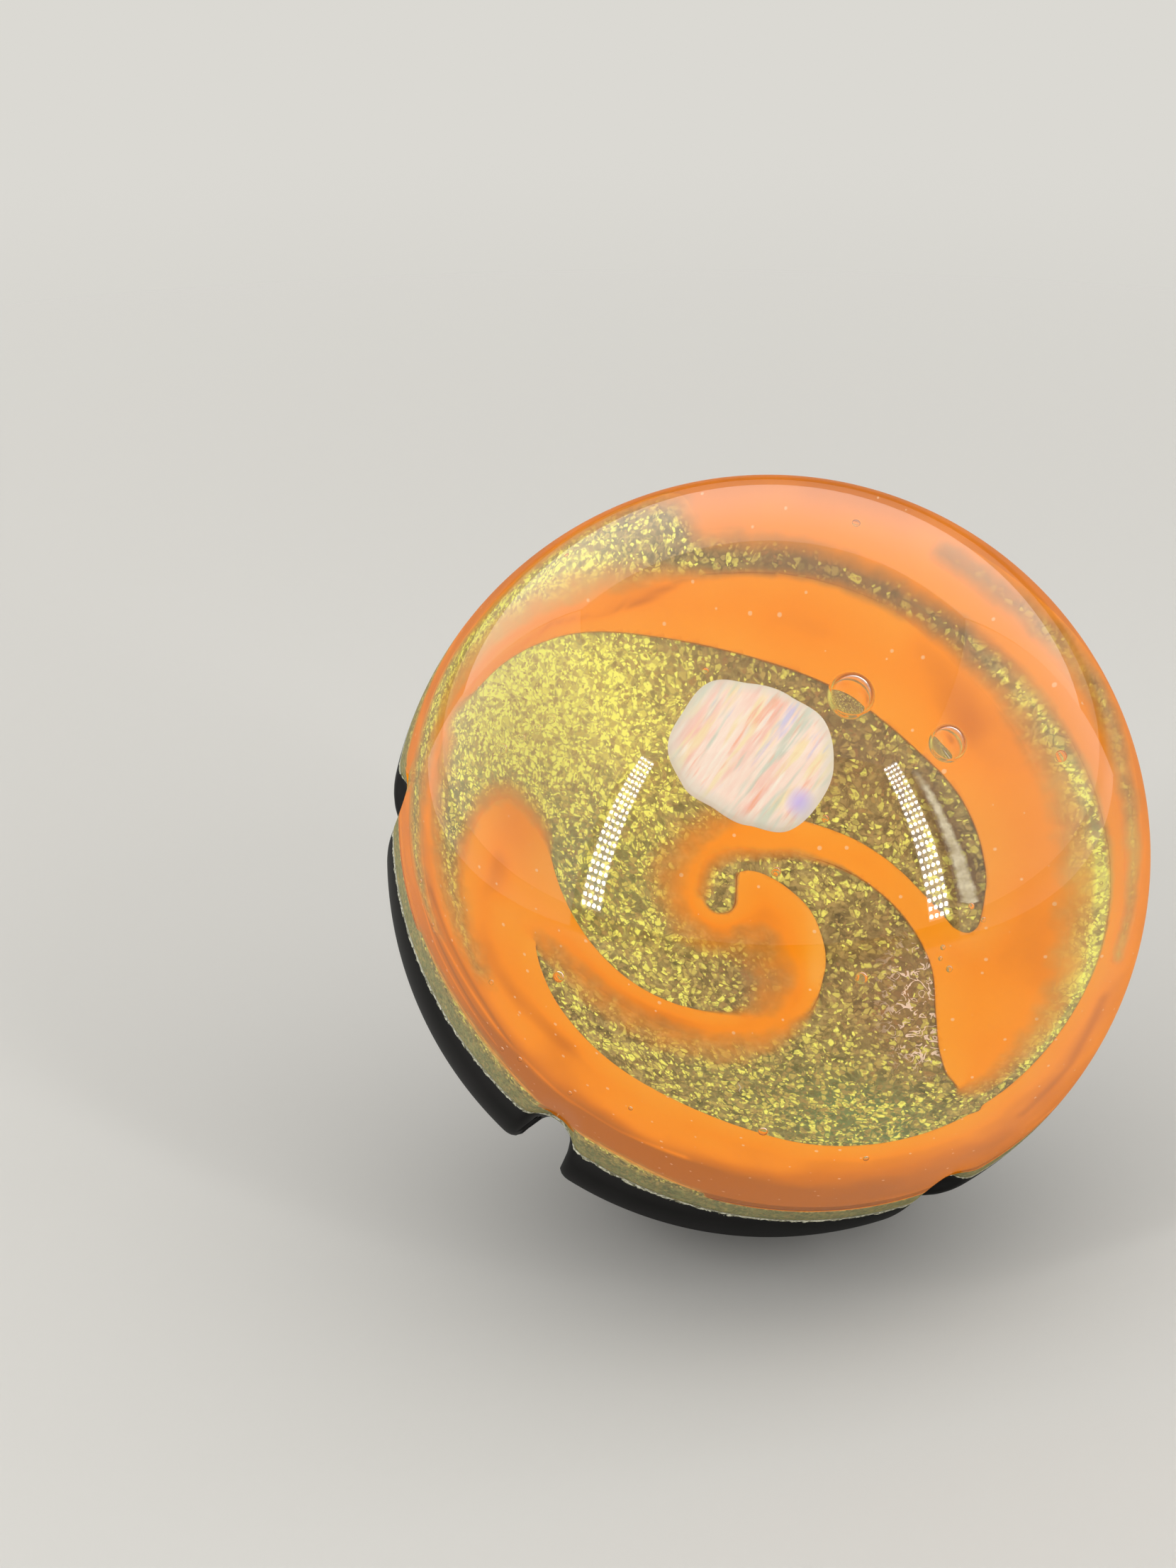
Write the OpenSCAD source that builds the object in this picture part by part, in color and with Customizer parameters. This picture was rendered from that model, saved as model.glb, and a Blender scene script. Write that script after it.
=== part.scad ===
// Hand-made swirl marble of clear, orange, glitter and black glass, with an opal chip sealed in
// the clear dome. Millimetres. The origin is the middle of the ball. Every piece is modelled with
// the window facing +Z, and held() then leans the window towards the front, -Y, as a ring stand
// shows it.

/* [Ball] */
// Diameter of the finished ball
ball_d = 38; // [32:1:60]
// Lean of the window from straight up towards the front
window_lean = 43; // [0:1:80]
// Turn of the marble about the middle of its window
ball_turn = -16.5; // [-180:0.5:180]

/* [Colour layers] */
// Depth of the middle of the coloured dish below the middle of the ball
dish_depth = 3.8; // [2:0.1:6]
// Height of the dish's edge above the middle of the ball
dish_rise = 2.1; // [1:0.1:3.5]
// Thickness of the orange glass
orange_t = 0.45; // [0.2:0.05:1]
// Thickness of the glitter glass from the dish's face down
glitter_t = 1.6; // [1.2:0.05:3]
// Size of the glitter swirl against the drawn one
swirl_reach = 1; // [0.7:0.05:1.1]

/* [Flutes in the back] */
// Number of flutes pressed into the back
flute_count = 6; // [3:1:9]
// Direction of the first flute about the window
flute_first = 176; // [0:1:359]
// Diameter of the rod that pressed the flutes
flute_d = 2.3; // [1:0.1:3.5]
// Depth of a flute at its deepest
flute_depth = 2.3; // [1.2:0.1:3]
// Angle from the middle of the window to a flute's deepest point
flute_polar = 112; // [104:1:125]
// Radius of the softened lips along a flute
flute_lip = 0.7; // [0.2:0.1:1.5]

/* [Opal chip] */
// Length of the chip
opal_l = 6.4; // [4:0.1:8]
// Thickness of the chip at its middle
opal_t = 1.2; // [0.6:0.1:2]
// Height of the crown on each face of the chip
opal_crown = 0.35; // [0.1:0.05:0.6]
// Height of its middle above the middle of the ball
opal_h = 5.7; // [3:0.1:9]
// Place of the chip across the window
opal_x = -2.25; // [-4:0.05:4]
// Place of the chip up the window
opal_y = 1.3; // [-4:0.05:4]

/* [Air bubbles] */
// Diameter of the largest bubble, which the others follow
bubble_d = 1.7; // [0.8:0.1:2.4]

/* [Hidden] */

$fn = 128;
ball_r = ball_d / 2;
past = 1;                 // how far a cutter runs past what it cuts

// The dish is a part of a large sphere, through the dish's middle and its edge on the ball.
dish_edge_r = sqrt(ball_r^2 - dish_rise^2);
dish_sag = dish_depth + dish_rise;
dish_r = (dish_edge_r^2 + dish_sag^2) / (2 * dish_sag);

// The chip's two faces are crowned, each a part of a sphere through the chip's ends.
opal_crown_r = ((opal_l / 2)^2 + opal_crown^2) / (2 * opal_crown);

// The glitter glass shows between the orange arms in two long tongues that wind in to the eye.
// Each tongue has stations of [direction, inner edge, outer edge], the edges in ball radii, and
// a tail that runs back round the outside of the next arm.
long_tongue = [[-3, .375, .395], [2, .345, .41], [12, .305, .42], [30, .25, .42], [48, .205, .405],
    [65, .18, .405], [90, .155, .415], [110, .14, .455], [130, .13, .53], [150, .122, .60],
    [163, .12, .63], [164.5, .119, .40], [168, .118, .37], [180, .115, .345], [200, .11, .315],
    [225, .103, .28], [250, .092, .246], [270, .078, .223], [285, .07, .203], [298, .095, .155]];
long_tail = [[162, .40, .63], [164, .455, .635], [170, .51, .645], [180, .565, .655],
    [190, .605, .66], [200, .632, .655], [207, .645, .65]];
short_tongue = [[-156, .425, .435], [-150, .395, .452], [-140, .37, .472], [-125, .345, .484],
    [-105, .318, .49], [-90, .30, .513], [-75, .28, .555], [-60, .25, .585], [-45, .215, .602],
    [-40.5, .205, .60], [-40, .204, .50], [-35, .195, .43], [-25, .175, .385], [-15, .155, .335],
    [0, .13, .285], [15, .105, .23], [30, .088, .178], [45, .076, .137], [62, .066, .10],
    [85, .052, .085], [110, .036, .073]];
short_tail = [[-41, .53, .60], [-38, .56, .602], [-20, .57, .607], [0, .56, .61], [20, .555, .60],
    [40, .55, .585], [60, .55, .575], [80, .548, .573], [96, .54, .577], [106, .55, .65],
    [120, .575, .67], [135, .62, .70], [150, .665, .735], [165, .70, .775], [180, .745, .815],
    [192, .775, .828], [200, .79, .80]];
rim_line = [[-6, .648, .652], [20, .64, .652], [35, .645, .662], [50, .635, .648], [64, .636, .64]];

// Between the flutes, which draw the orange out, its ring falls short of the ball's edge.
rim_gaps = [
    [[140, .99, 1.03], [147, .94, 1.03], [158, .91, 1.03], [168, .925, 1.03], [173, .96, 1.03],
        [176, .99, 1.03]],
    [[204, .99, 1.03], [210, .955, 1.03], [217, .93, 1.03], [225, .935, 1.03], [231, .96, 1.03],
        [233.5, .99, 1.03]],
    [[239.5, .99, 1.03], [242, .955, 1.03], [248, .935, 1.03], [254, .955, 1.03], [259, .99, 1.03]]];
swirl_step = 5;           // degrees between the points of a tongue's edge

// The eye in the middle is drawn round two rounds, each as [x, y, radius] in ball radii.
eye = [[-.026, 0, .029], [-.012, .045, .015]];

// Hand pressing leaves each flute a little off its even place, in degrees.
flute_drift = [3, 1, 3, 1, -2, 2, 0, 1, -1];

// Half lengths of the chip every 30 degrees from +X, against the longest
opal_shape = [1, 1.03, .92, .90, 1, .94, 1, .93, .82, .87, 1, .97];
opal_steps = 72;

// Air bubbles, as [x, y, z] in ball radii and the share of the largest diameter
bubbles = [[.10, .25, .20, 1], [.30, .18, .20, .8], [.15, -.35, .18, .33], [-.53, -.47, .25, .30],
    [-.06, -.80, .26, .25], [.50, .21, .12, .25], [-.02, -.10, .15, .22], [-.62, .07, .20, .22],
    [-.57, .10, .20, .16], [-.54, .13, .20, .13], [.10, .59, .20, .18], [-.18, .27, .20, .15],
    [.06, 0, .20, .16], [.32, -.28, .20, .15], [-.50, .53, .20, .14], [.20, -.81, .20, .16],
    [-.36, -.77, .20, .12]];

// Value of column c at direction a: a smooth cubic through the stations on each side
function span(st, a, i = 0) = i >= len(st) - 2 || a < st[i + 1][0] ? i : span(st, a, i + 1);
function slope(st, c, i) =
    let (p = max(i - 1, 0), q = min(i + 1, len(st) - 1))
    (st[q][c] - st[p][c]) / (st[q][0] - st[p][0]);
function edge(st, c, a) =
    let (i = span(st, a), w = st[i + 1][0] - st[i][0], t = (a - st[i][0]) / w)
    st[i][c] * (1 + 2 * t) * (1 - t)^2 + st[i + 1][c] * t^2 * (3 - 2 * t)
        + w * (slope(st, c, i) * t * (1 - t)^2 + slope(st, c, i + 1) * t^2 * (t - 1));

// Half length of the chip in direction a, blended between the two nearest shares
function opal_half(a) =
    let (n = len(opal_shape), s = a / 360 * n, i = floor(s), u = (1 - cos(180 * (s - i))) / 2)
    opal_l / 2 * (opal_shape[i % n] * (1 - u) + opal_shape[(i + 1) % n] * u);
function polar(r, a) = [r * cos(a), r * sin(a)];

module held() rotate([window_lean, 0, 0]) rotate([0, 0, ball_turn]) children();

module ball() sphere(r = ball_r);

// All that lies on the window's side of the dish, with the dish sunk by t
module above_dish(t = 0) translate([0, 0, dish_r - dish_depth]) sphere(r = dish_r + t);

// One tongue of glitter glass, seen through the window
module tongue(st) {
    first = st[0][0];
    sweep = st[len(st) - 1][0] - first;
    n = ceil(sweep / swirl_step);
    r = ball_r * swirl_reach;
    inner = [for (k = [0:n]) let (a = first + sweep * k / n) polar(r * edge(st, 1, a), a)];
    outer = [for (k = [n:-1:0]) let (a = first + sweep * k / n) polar(r * edge(st, 2, a), a)];
    polygon(concat(inner, outer));
}

module swirl_openings() {
    translate([0, 0, -ball_r]) linear_extrude(ball_d) {
        for (st = [long_tongue, long_tail, short_tongue, short_tail, rim_line]) tongue(st);
        for (st = rim_gaps) tongue(st);
        hull() for (e = eye)
            translate([ball_r * e[0], ball_r * e[1]]) circle(r = ball_r * e[2], $fn = 32);
    }
}

// Orange glass as a sheet on the dish, open where the glitter shows
module orange_sheet() {
    difference() {
        intersection() {
            ball();
            above_dish(orange_t);
        }
        above_dish();
        swirl_openings();
    }
}

// Section of a flute, with +X outwards: a round root, straight walls and softened lips
module flute_section() {
    root_x = ball_r - flute_depth + flute_d / 2;
    lip_x = ball_r - flute_lip;
    lip_y = flute_d / 2 + flute_lip;
    translate([root_x, 0]) circle(d = flute_d);
    translate([root_x, -flute_d / 2]) square([flute_depth + past, flute_d]);
    difference() {
        translate([lip_x, -lip_y]) square([flute_lip + past, 2 * lip_y]);
        for (side = [-1, 1]) translate([lip_x, side * lip_y]) circle(r = flute_lip);
    }
}

// A straight rod presses each flute, so it is deepest half way and runs out at both ends.
module flutes() {
    for (k = [0:flute_count - 1])
        rotate([0, 0, flute_first + flute_drift[k] + k * 360 / flute_count])
            rotate([0, flute_polar - 90, 0]) linear_extrude(ball_d, center = true) flute_section();
}

module chip() {
    translate([opal_x, opal_y, opal_h]) intersection() {
        linear_extrude(opal_t, center = true)
            polygon([for (k = [0:opal_steps - 1]) let (a = 360 * k / opal_steps) polar(opal_half(a), a)]);
        for (side = [-1, 1])
            translate([0, 0, side * (opal_t / 2 - opal_crown_r)]) sphere(r = opal_crown_r);
    }
}

module air_bubbles() {
    for (b = bubbles)
        translate(ball_r * [b[0], b[1], b[2]]) sphere(d = bubble_d * b[3], $fn = 32);
}

// Clear glass over the dish, with the chip's seat and the bubbles left in it
module clear_dome() {
    color([0.93, 0.96, 0.95, 0.35]) held() difference() {
        intersection() {
            ball();
            above_dish();
        }
        chip();
        air_bubbles();
        flutes();
    }
}

module opal_chip() {
    color([0.97, 0.84, 0.80]) held() chip();
}

// Orange arms between the glitter tongues, and the ring outside them
module orange_swirl() {
    color([0.98, 0.53, 0.11]) held() difference() {
        orange_sheet();
        flutes();
    }
}

// Glitter glass behind the orange, which comes up flush with it in the openings
module glitter_layer() {
    color([0.62, 0.60, 0.25]) held() difference() {
        intersection() {
            ball();
            above_dish(glitter_t);
        }
        above_dish();
        orange_sheet();
        flutes();
    }
}

// Solid black back, which the flutes part into lobes
module black_back() {
    color([0.03, 0.03, 0.035]) held() difference() {
        ball();
        above_dish(glitter_t);
        flutes();
    }
}

clear_dome();
opal_chip();
orange_swirl();
glitter_layer();
black_back();
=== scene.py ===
import math
from functools import partial

import bpy
import numpy as np
from mathutils import Matrix, Vector


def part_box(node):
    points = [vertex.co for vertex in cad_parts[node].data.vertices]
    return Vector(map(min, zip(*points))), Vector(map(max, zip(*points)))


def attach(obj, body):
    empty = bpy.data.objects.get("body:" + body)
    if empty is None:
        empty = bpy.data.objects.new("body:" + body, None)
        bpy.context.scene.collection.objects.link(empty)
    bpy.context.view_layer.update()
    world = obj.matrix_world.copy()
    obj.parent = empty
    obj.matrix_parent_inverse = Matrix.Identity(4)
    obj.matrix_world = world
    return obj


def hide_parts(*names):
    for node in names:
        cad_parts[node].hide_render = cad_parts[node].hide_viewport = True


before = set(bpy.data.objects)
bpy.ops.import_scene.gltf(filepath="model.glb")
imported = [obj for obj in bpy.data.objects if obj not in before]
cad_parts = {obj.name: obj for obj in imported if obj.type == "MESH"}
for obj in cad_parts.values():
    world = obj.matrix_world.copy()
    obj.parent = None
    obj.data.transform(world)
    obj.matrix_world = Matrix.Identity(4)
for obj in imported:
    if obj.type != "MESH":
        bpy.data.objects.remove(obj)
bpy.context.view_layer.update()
mm = 0.001

# Modelled in millimetres with the window facing +Z, then turned and leaned as the part is.
marble = {
    "lean": 43,            # degrees from straight up towards -Y
    "turn": -16.5,         # degrees about the middle of the window
    "dishDepth": 3.8,      # middle of the coloured dish below the middle of the ball
    "dishRise": 2.1,       # its edge above the middle of the ball
    "orangeThick": 0.45,
    "glitterThick": 1.6,   # from the dish's face down
    "skin": 0.04,          # clear glass left over the edges of the colours
}
low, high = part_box("black_back")
ballRadius = (high.x - low.x) / 2 / mm
toRow = (Matrix.Scale(mm, 4) @ Matrix.Rotation(math.radians(marble["lean"]), 4, "X")
         @ Matrix.Rotation(math.radians(marble["turn"]), 4, "Z"))

edgeRadius = math.sqrt(ballRadius ** 2 - marble["dishRise"] ** 2)
dishSag = marble["dishDepth"] + marble["dishRise"]
dishRadius = (edgeRadius ** 2 + dishSag ** 2) / (2 * dishSag)
dishCentre = dishRadius - marble["dishDepth"]


# Shape helpers

def smoothStep(start, end, x):
    t = np.clip((x - start) / (end - start), 0, 1)
    return t * t * (3 - 2 * t)


def onPlane(angle, radius):
    a = np.radians(angle)
    return np.stack([radius * np.cos(a), radius * np.sin(a)], -1)


def onBall(polar, angle):
    p = np.radians(polar)
    flat = onPlane(angle, np.sin(p))
    return np.column_stack([flat, np.broadcast_to(np.cos(p), len(flat))])


def dishHeight(radius, sunk=0.0):
    return dishCentre - np.sqrt((dishRadius + sunk) ** 2 - radius ** 2)


# Even triangles over a disc: each point's share of the radius, its direction, and the faces
def discGrid(rings):
    share = np.concatenate([[0.0]] + [np.full(6 * k, k / rings) for k in range(1, rings + 1)])
    angle = np.concatenate([[0.0]] + [np.arange(6 * k) * 60.0 / k for k in range(1, rings + 1)])
    faces = []
    for k in range(rings):
        inner = 1 + 3 * k * (k - 1) if k else 0
        outer = 1 + 3 * k * (k + 1)
        sector, step = np.divmod(np.arange(6 * (k + 1)), k + 1)
        here = sector * (k + 1) + step
        faces.append(np.stack([outer + here, outer + (here + 1) % (6 * (k + 1)),
                               inner + (sector * k + step) % max(6 * k, 1)], 1))
        sector, step = np.divmod(np.arange(6 * k), max(k, 1))
        faces.append(np.stack([inner + sector * k + step, outer + sector * (k + 1) + step + 1,
                               inner + (sector * k + step + 1) % max(6 * k, 1)], 1))
    return share, angle, np.concatenate(faces)


# Faces between two closed rows of points that start at these numbers
def strip(first, second, count):
    i = np.arange(count)
    j = (i + 1) % count
    return np.concatenate([np.stack([first + i, first + j, second + j], 1),
                           np.stack([first + i, second + j, second + i], 1)])


# Goes on from the last row of points, a whole ring, through these rows to a point in the middle
def closeRows(points, faces, rows, middle, faceDown):
    n = len(rows[0])
    starts = len(points) + n * np.arange(-1, len(rows))
    added = [strip(b, a, n) if faceDown else strip(a, b, n) for a, b in zip(starts, starts[1:])]
    here = starts[-1] + np.arange(n)
    following = np.roll(here, -1)
    tip = np.full(n, starts[-1] + n)
    added.append(np.stack([here, tip, following] if faceDown else [here, following, tip], 1))
    return np.concatenate([points, *rows, [middle]]), np.concatenate([faces, *added])


# Each piece keeps its points from before the turn, in mm, as the field "place" for the patterns.
# The last faces can be flat ones.
def makePiece(name, points, faces, fields=None, flat=0):
    mesh = bpy.data.meshes.new(name)
    mesh.from_pydata(points.tolist(), [], faces.tolist())
    mesh.attributes.new("place", "FLOAT_VECTOR", "POINT").data.foreach_set("vector", points.ravel())
    mesh.transform(toRow)
    mesh.polygons.foreach_set("use_smooth", [n < len(faces) - flat for n in range(len(faces))])
    for key, values in (fields or {}).items():
        field = mesh.attributes.new(key, "FLOAT", "POINT")
        field.data.foreach_set("value", values)
    mesh.update()
    piece = bpy.data.objects.new(name, mesh)
    bpy.context.scene.collection.objects.link(piece)
    return piece


# The ball's outside, with the six flutes that part the black back into lobes

flutes = {
    "places": [179, 237, 299, 357, 54, 118],  # direction of each about the window
    "polar": 112,          # degrees from the middle of the window to the deepest point
    "width": 2.3,
    "depth": 2.3,
    "soften": 0.9,         # how widely the lips are rounded
    "reach": (0.75, 0.25),     # cosines, ahead and beside, within which one can cut
    "inmost": 0.8,         # none goes below this share of the ball's radius
    "halvings": 24, "rimSteps": 30,
}


def outerRadius(directions):
    n = directions / np.linalg.norm(directions, axis=1, keepdims=True)
    radius = np.full(len(n), ballRadius)
    tilt = flutes["polar"]
    ahead, beside = flutes["reach"]
    root = ballRadius - flutes["depth"] + flutes["width"] / 2
    for place in flutes["places"]:
        out, along = onBall(tilt, np.array([place]))[0], onBall(tilt + 90, np.array([place]))[0]
        across = np.cross(out, along)
        near = np.nonzero((n @ out > ahead) & (np.abs(n @ across) < beside))[0]
        o, c = n[near] @ out, n[near] @ across
        inner, outer = np.full(len(near), flutes["inmost"] * ballRadius), radius[near]
        for _ in range(flutes["halvings"]):
            middle = (inner + outer) / 2
            up, side = middle * o, np.abs(middle * c)
            channel = np.where(up > root, side, np.hypot(up - root, side)) - flutes["width"] / 2
            ball = middle - ballRadius
            rounding = np.clip(flutes["soften"] - np.abs(ball + channel), 0, None) ** 2
            solid = np.maximum(ball, -channel) + rounding / flutes["soften"] / 4
            inner, outer = np.where(solid < 0, middle, inner), np.where(solid < 0, outer, middle)
        radius[near] = (inner + outer) / 2
    return radius


# How far out a disc at this depth meets the ball's outside
def rimRadius(angle, sunk, skin):
    radius = np.full(len(angle), edgeRadius)
    for _ in range(flutes["rimSteps"]):
        points = np.column_stack([onPlane(angle, radius), dishHeight(radius, sunk)])
        radius = radius * (outerRadius(points) - skin) / np.linalg.norm(points, axis=1)
    return radius


# Where the black starts, as the angle from the middle of the window
plain = np.array([flutes["places"][0] + 30.0])
blackEdge = rimRadius(plain, marble["glitterThick"], 0.0)
blackPolar = math.degrees(math.atan2(blackEdge[0], dishHeight(blackEdge[0], marble["glitterThick"])))
print(f"ball radius {ballRadius:.3f} mm, dish radius {dishRadius:.2f} mm, "
      f"black from {blackPolar:.2f} degrees")


# The swirl: tongues of glitter glass between the orange arms. Each station is a direction, the
# inner and outer edge in ball radii, and how many mm the orange takes to fade at each edge.

swirl = {
    "longTongue": [
        (-3, .382, .394, 0, 0), (-2, .368, .402, 0, 0), (0, .357, .4075, 0, 0),
        (5, .333, .413, 0, 0), (12, .305, .42, 0, 0), (30, .25, .42, 0, 0),
        (48, .205, .405, 0, 0), (65, .18, .405, .2, 0), (90, .155, .415, .5, 0),
        (110, .14, .455, .8, 0), (130, .13, .53, 1, 0), (150, .122, .60, 1.1, 0),
        (163, .12, .63, 1.2, .6), (164, .12, .455, 1.2, .7), (165, .119, .41, 1.2, .7),
        (167, .118, .384, 1.2, .6), (170, .118, .364, 1.2, .4),
        (180, .115, .345, 1.2, 0), (200, .11, .315, 1.1, 0), (225, .103, .28, 1, 0),
        (250, .092, .246, .8, 0), (270, .078, .223, .6, .2), (285, .07, .203, 1.2, .8),
        (298, .095, .155, 2, 1.8)],
    "longTail": [
        (162, .40, .63, .6, .5), (164, .455, .635, .6, .7), (170, .51, .645, .6, 1),
        (180, .56, .655, .6, 1.2), (190, .605, .66, .7, 1.4), (200, .632, .655, 1, 1.6),
        (207, .645, .65, 1.4, 1.8)],
    "shortTongue": [
        (-156, .425, .435, 1.5, 0), (-150, .395, .452, 1.5, 0), (-140, .37, .472, 1.5, 0),
        (-125, .345, .484, 1.5, 0), (-105, .318, .49, 1.3, 0), (-90, .30, .513, 1, 0),
        (-75, .28, .555, .6, 0), (-60, .25, .585, .3, 0), (-45, .215, .602, 0, 0),
        (-42, .208, .60, 0, 0), (-41, .206, .52, 0, 0), (-40, .204, .488, 0, 0),
        (-38, .20, .462, 0, 0), (-35, .195, .434, 0, 0), (-30, .185, .404, 0, 0),
        (-25, .175, .381, 0, 0), (-15, .155, .348, 0, 0), (0, .13, .288, 0, 0),
        (15, .105, .23, 0, 0), (30, .088, .178, 0, .2), (45, .076, .137, 0, .3),
        (62, .066, .10, 0, .3), (85, .052, .085, 0, .4), (110, .036, .073, .2, .5)],
    "shortTail": [
        (-43, .54, .60, .8, 0), (-41, .54, .60, .8, 0), (-38, .56, .602, .8, 0),
        (-20, .57, .607, 1.1, 0),
        (0, .56, .61, 1.3, .1), (20, .555, .60, 1, .2), (40, .55, .588, .5, .3),
        (60, .548, .58, .3, .3), (80, .543, .58, .2, .4), (96, .535, .583, .2, .5),
        (100, .537, .595, .3, .5), (103, .541, .65, .3, .6), (110, .552, .665, .6, .5),
        (122, .58, .672, .9, .4), (135, .62, .69, 1.1, .4), (145, .65, .722, 1.1, .4),
        (154, .675, .76, 1, .4), (165, .70, .787, .9, .6), (180, .745, .815, .8, .8),
        (192, .775, .828, .8, .8), (200, .79, .80, .8, .8)],
    "rimLine": [
        (-6, .648, .652, .4, .4), (20, .64, .652, .4, .4), (35, .645, .662, .4, .4),
        (50, .635, .648, .4, .4), (64, .636, .64, .4, .4)],
    "rimGaps": [               # the ring falls short of the ball's edge between the flutes
        [(140, .99, 1.03, .7, 0), (147, .94, 1.03, .7, 0), (158, .91, 1.03, .7, 0),
         (168, .925, 1.03, .7, 0), (173, .96, 1.03, .5, 0), (176, .99, 1.03, .3, 0)],
        [(204, .99, 1.03, 1.3, 0), (210, .955, 1.03, 1.3, 0), (217, .93, 1.03, 1.3, 0),
         (225, .935, 1.03, 1.3, 0), (231, .96, 1.03, .9, 0), (233.5, .99, 1.03, .5, 0)],
        [(239.5, .99, 1.03, .5, 0), (242, .955, 1.03, .9, 0), (248, .935, 1.03, 1.1, 0),
         (254, .955, 1.03, 1.1, 0), (259, .99, 1.03, 1.1, 0)]],
    "eye": [(-.026, 0, .029), (-.021, .045, .025)],   # the swirl's middle: x, y and radius of two rounds
    "step": 1.0,               # degrees between the points of a tongue's edge
    "crispFade": 0.03,         # fade of the crispest edge, mm
    "crisp": (0.1, 0.5),       # edges are crisp up to the first fade and not at all from the second
    "soft": (0.1, 0.4),        # and soft between these
    "eyeFade": (0.1, 0.3, 0.9, 1.5),   # mm: least, gain, and from where to where above the diagonal
    "nearness": 0.003,         # mm squared: how sharply the nearest edge sets the fade
    "atOnce": 3000,            # points measured at once
}


# A cubic through the stations, in the part's own way
def smoothColumn(stations, column, angles):
    s = np.array(stations, float)
    a, v = s[:, 0], s[:, column]
    before, after = np.maximum(np.arange(len(s)) - 1, 0), np.minimum(np.arange(len(s)) + 1, len(s) - 1)
    slope = (v[after] - v[before]) / (a[after] - a[before])
    i = np.clip(np.searchsorted(a, angles, side="right") - 1, 0, len(s) - 2)
    w = a[i + 1] - a[i]
    t = (angles - a[i]) / w
    return (v[i] * (1 + 2 * t) * (1 - t) ** 2 + v[i + 1] * t ** 2 * (3 - 2 * t)
            + w * (slope[i] * t * (1 - t) ** 2 + slope[i + 1] * t ** 2 * (t - 1)))


# Closed outline of a tongue in mm, and the fade at each point of it
def tongueOutline(stations):
    first, last = stations[0][0], stations[-1][0]
    angles = np.linspace(first, last, int((last - first) / swirl["step"]) + 1)
    inner, outer = (onPlane(angles, ballRadius * smoothColumn(stations, c, angles)) for c in (1, 2))
    known = [s[0] for s in stations]
    fadeIn, fadeOut = (np.interp(angles, known, [s[c] for s in stations]) for c in (3, 4))
    return np.concatenate([inner, outer[::-1]]), np.concatenate([fadeIn, fadeOut[::-1]])


# The hull of the eye's two rounds
def eyeOutline():
    (x0, y0, r0), (x1, y1, r1) = swirl["eye"]
    away = math.degrees(math.atan2(y0 - y1, x0 - x1))
    side = math.degrees(math.acos((r1 - r0) / math.hypot(x0 - x1, y0 - y1)))
    big = np.array([x0, y0]) + onPlane(np.linspace(away - side, away + side, 28), r0)
    small = np.array([x1, y1]) + onPlane(np.linspace(away + side, away + 360 - side, 16), r1)
    return ballRadius * np.concatenate([big, small])


def isInside(points, outline):
    found = np.zeros(len(points), bool)
    for a, b in zip(outline, np.roll(outline, -1, 0)):
        crosses = (a[1] > points[:, 1]) != (b[1] > points[:, 1])
        rise = b[1] - a[1] if b[1] != a[1] else 1e-12
        found ^= crosses & (points[:, 0] < (b[0] - a[0]) * (points[:, 1] - a[1]) / rise + a[0])
    return found


# Every stretch of edge between orange and glitter: start, end, fade, and the outlines
def swirlEdges():
    keys = ("longTongue", "longTail", "shortTongue", "shortTail", "rimLine")
    pairs = [tongueOutline(stations) for stations in [swirl[key] for key in keys] + swirl["rimGaps"]]
    eye = eyeOutline()
    least, gain, start, end = swirl["eyeFade"]
    outlines = [pair[0] for pair in pairs] + [eye]
    fades = [pair[1] for pair in pairs] + [least + gain * smoothStep(start, end, eye[:, 1] - eye[:, 0])]
    starts, ends, soft = [], [], []
    for n, (outline, fade) in enumerate(zip(outlines, fades)):
        following = np.roll(outline, -1, 0)
        middle = (outline + following) / 2
        keep = np.linalg.norm(middle, axis=1) < ballRadius
        for m, other in enumerate(outlines):
            if m != n:
                keep &= ~isInside(middle, other)
        starts.append(outline[keep])
        ends.append(following[keep])
        soft.append(fade[keep])
    return np.concatenate(starts), np.concatenate(ends), np.concatenate(soft), outlines


edges = swirlEdges()
print(f"swirl edges: {len(edges[0])} stretches")


# How deep each point lies in the glitter, negative in the orange, and the fade of the edges near it
def swirlField(points):
    starts, ends, soft, outlines = edges
    along = ends - starts
    length = np.sqrt((along ** 2).sum(1)) + 1e-9
    depth, fade = np.empty(len(points)), np.empty(len(points))
    for part in np.array_split(np.arange(len(points)), max(1, len(points) // swirl["atOnce"])):
        gap = points[part, None] - starts[None]
        t = np.clip((gap * along).sum(2) / length ** 2, 0, 1)
        far = ((gap - t[..., None] * along) ** 2).sum(2)
        depth[part] = np.sqrt(far.min(1))
        weight = length / (far + swirl["nearness"]) ** 2
        fade[part] = (weight * soft).sum(1) / weight.sum(1)
    glitter = np.any([isInside(points, outline) for outline in outlines], axis=0)
    return np.where(glitter, depth, -depth), np.maximum(fade, swirl["crispFade"])


# How far points lie from a line that runs through [direction, ball radii] places
def lineDistance(points, places):
    angles, radii = np.array(places, float).T
    line = ballRadius * onPlane(angles, radii)
    best = np.full(len(points), 1e9)
    for a, b in zip(line, line[1:]):
        along = b - a
        t = np.clip((points - a) @ along / (along @ along), 0, 1)
        best = np.minimum(best, np.linalg.norm(points - a - t[:, None] * along, axis=1))
    return best


def softSpots(points, spots):
    total = np.zeros(len(points))
    for angle, radius, size, amount in spots:
        middle = onPlane(np.array([angle]), ballRadius * radius)[0]
        total += amount * np.exp(-((points - middle) ** 2).sum(1) / size ** 2)
    return total


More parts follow.
